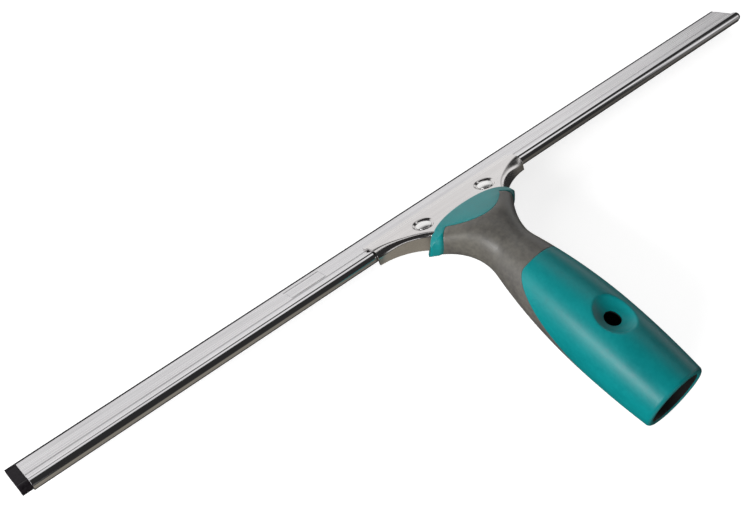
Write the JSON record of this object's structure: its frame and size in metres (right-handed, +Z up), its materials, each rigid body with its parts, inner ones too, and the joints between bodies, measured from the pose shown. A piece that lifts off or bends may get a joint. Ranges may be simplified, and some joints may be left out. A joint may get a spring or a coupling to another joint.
{
  "type": "window cleaning squeegee",
  "caption": "Window squeegee: a steel channel with a rubber blade, held in a riveted bracket on a two-tone handle with a pole socket.",
  "frame": {"origin": "centre of the pole socket's mouth, on the handle's axis", "axes": "+Y along the handle from the pole socket to the rubber blade, +X along the steel channel, +Z up out of the side with the rivets and the locking hole"},
  "size_m": [0.4566, 0.1555, 0.0367],
  "materials": {
    "channel_steel": "fine brushed along its length",
    "bracket_steel": "satin",
    "spring_steel": "satin",
    "rivet_steel": "bright",
    "blade_rubber": "matt",
    "teal_plastic": "semi-gloss",
    "collar_plastic": "semi-gloss",
    "soft_grip": "fine-grained matt",
    "socket_plastic": "matt"
  },
  "bodies": {
    "handle": {"handle_shell": "teal_plastic", "soft_grip": "soft_grip", "front_collar": "collar_plastic", "pole_socket": "socket_plastic", "tang_pins": "spring_steel", "bracket_plate": "bracket_steel", "clip_spring": "spring_steel", "rivets": "rivet_steel", "rivet_spacers": "spring_steel"},
    "channel": {"channel_rail": "channel_steel"},
    "blade": {"blade_rubber": "blade_rubber"}
  },
  "joints": [
    {"name": "rail_slide", "type": "slide", "parent": "handle", "child": "channel", "axis": [1, 0, 0], "range_m": [-0.175, 0.175]},
    {"name": "blade_slide", "type": "slide", "parent": "channel", "child": "blade", "axis": [1, 0, 0], "range_m": [-0.2, 0.2]}
  ]
}
